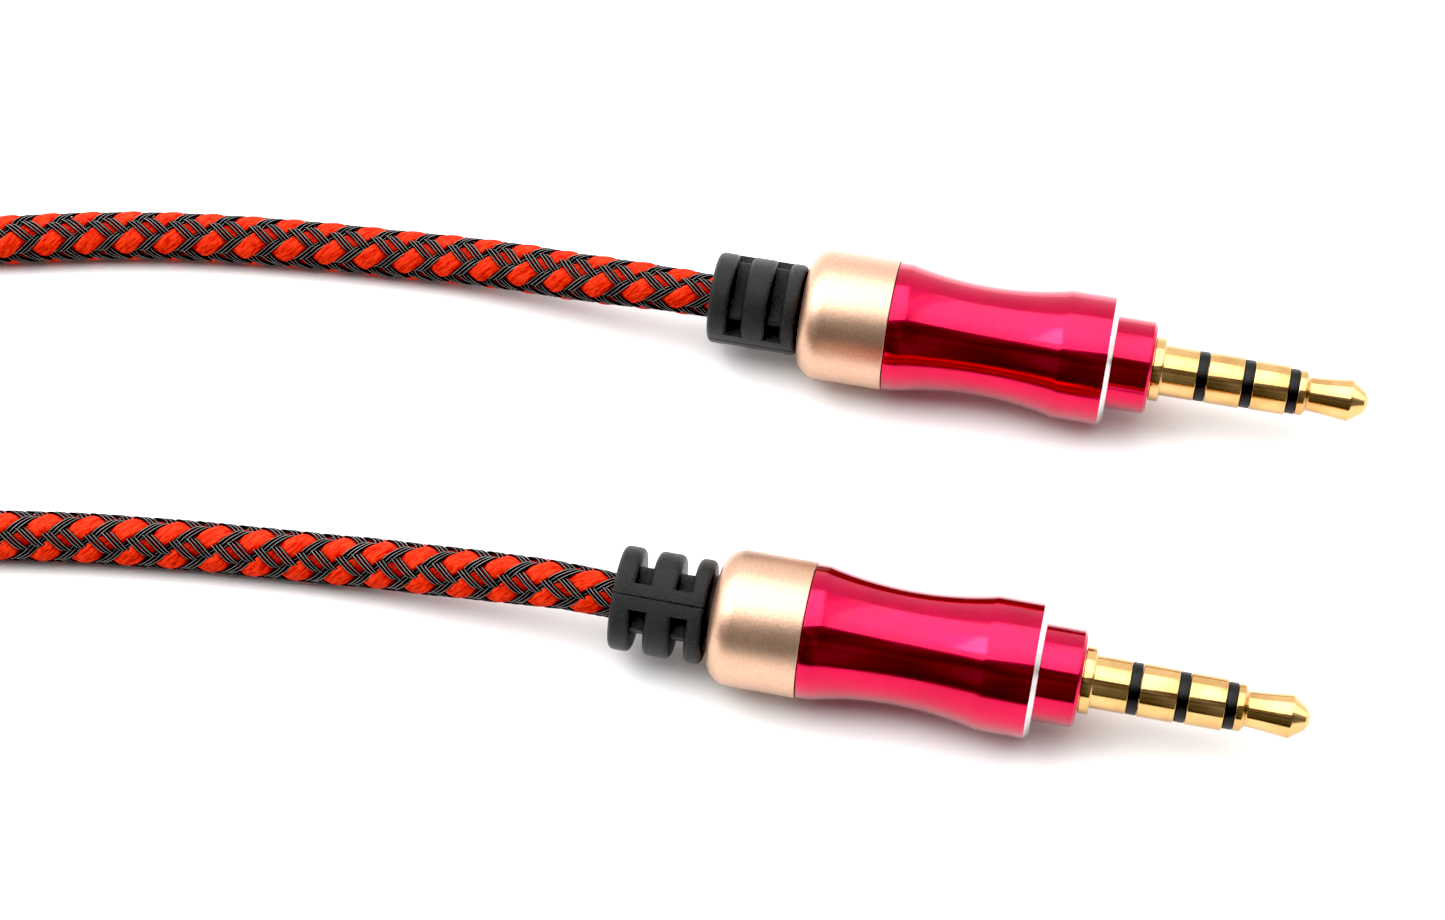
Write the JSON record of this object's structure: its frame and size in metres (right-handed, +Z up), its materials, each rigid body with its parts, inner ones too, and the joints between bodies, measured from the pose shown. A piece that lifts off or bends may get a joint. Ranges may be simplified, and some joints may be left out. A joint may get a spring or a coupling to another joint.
{
  "type": "audio cable",
  "caption": "Red and black braided stereo audio lead with a slim gold 3.5 mm four-pole plug on each end, the spare length coiled.",
  "frame": {"origin": "on the table, below the middle of the box round the two plugs", "axes": "+Z up from the table; the plugs point along +X, turned 11 degrees towards -Y; the cord leaves along -X"},
  "size_m": [0.1561, 0.0557, 0.009],
  "materials": {
    "gold": "polished gold plate",
    "crimson_aluminium": "bright crimson anodised, with a bare diamond-cut chamfer behind the nose",
    "champagne_aluminium": "fine blasted champagne anodised",
    "black_rubber": "matt moulded rubber",
    "black_plastic": "smooth black insulating rings",
    "white_plastic": "plain inner tube",
    "grey_jacket": "plain inner sheath",
    "solder": "satin solder",
    "green_wire": "insulated conductor",
    "red_wire": "insulated conductor",
    "blue_wire": "insulated conductor",
    "copper_wire": "bare copper conductor",
    "red_black_braid": "red yarn and black filament braid",
    "strap_fabric": "black woven hook and loop strap"
  },
  "bodies": {
    "root": {"coil_strap": "strap_fabric", "cord_coil": "red_black_braid", "cord_tube_a": "red_black_braid", "cord_tube_b": "red_black_braid", "plug_a_front_shell": "crimson_aluminium", "plug_a_ground_solder": "solder", "plug_a_ground_wire": "copper_wire", "plug_a_insulating_tube": "white_plastic", "plug_a_jacket_end": "grey_jacket", "plug_a_left_solder": "solder", "plug_a_left_wire": "green_wire", "plug_a_microphone_solder": "solder", "plug_a_microphone_wire": "blue_wire", "plug_a_rear_cap": "champagne_aluminium", "plug_a_right_solder": "solder", "plug_a_right_wire": "red_wire", "plug_a_ring_1_contact": "gold", "plug_a_ring_2_contact": "gold", "plug_a_ring_insulator": "black_plastic", "plug_a_sleeve_contact": "gold", "plug_a_sleeve_insulator": "black_plastic", "plug_a_strain_relief": "black_rubber", "plug_a_tip_contact": "gold", "plug_a_tip_insulator": "black_plastic", "plug_b_front_shell": "crimson_aluminium", "plug_b_ground_solder": "solder", "plug_b_ground_wire": "copper_wire", "plug_b_insulating_tube": "white_plastic", "plug_b_jacket_end": "grey_jacket", "plug_b_left_solder": "solder", "plug_b_left_wire": "green_wire", "plug_b_microphone_solder": "solder", "plug_b_microphone_wire": "blue_wire", "plug_b_rear_cap": "champagne_aluminium", "plug_b_right_solder": "solder", "plug_b_right_wire": "red_wire", "plug_b_ring_1_contact": "gold", "plug_b_ring_2_contact": "gold", "plug_b_ring_insulator": "black_plastic", "plug_b_sleeve_contact": "gold", "plug_b_sleeve_insulator": "black_plastic", "plug_b_strain_relief": "black_rubber", "plug_b_tip_contact": "gold", "plug_b_tip_insulator": "black_plastic"}
  },
  "joints": []
}
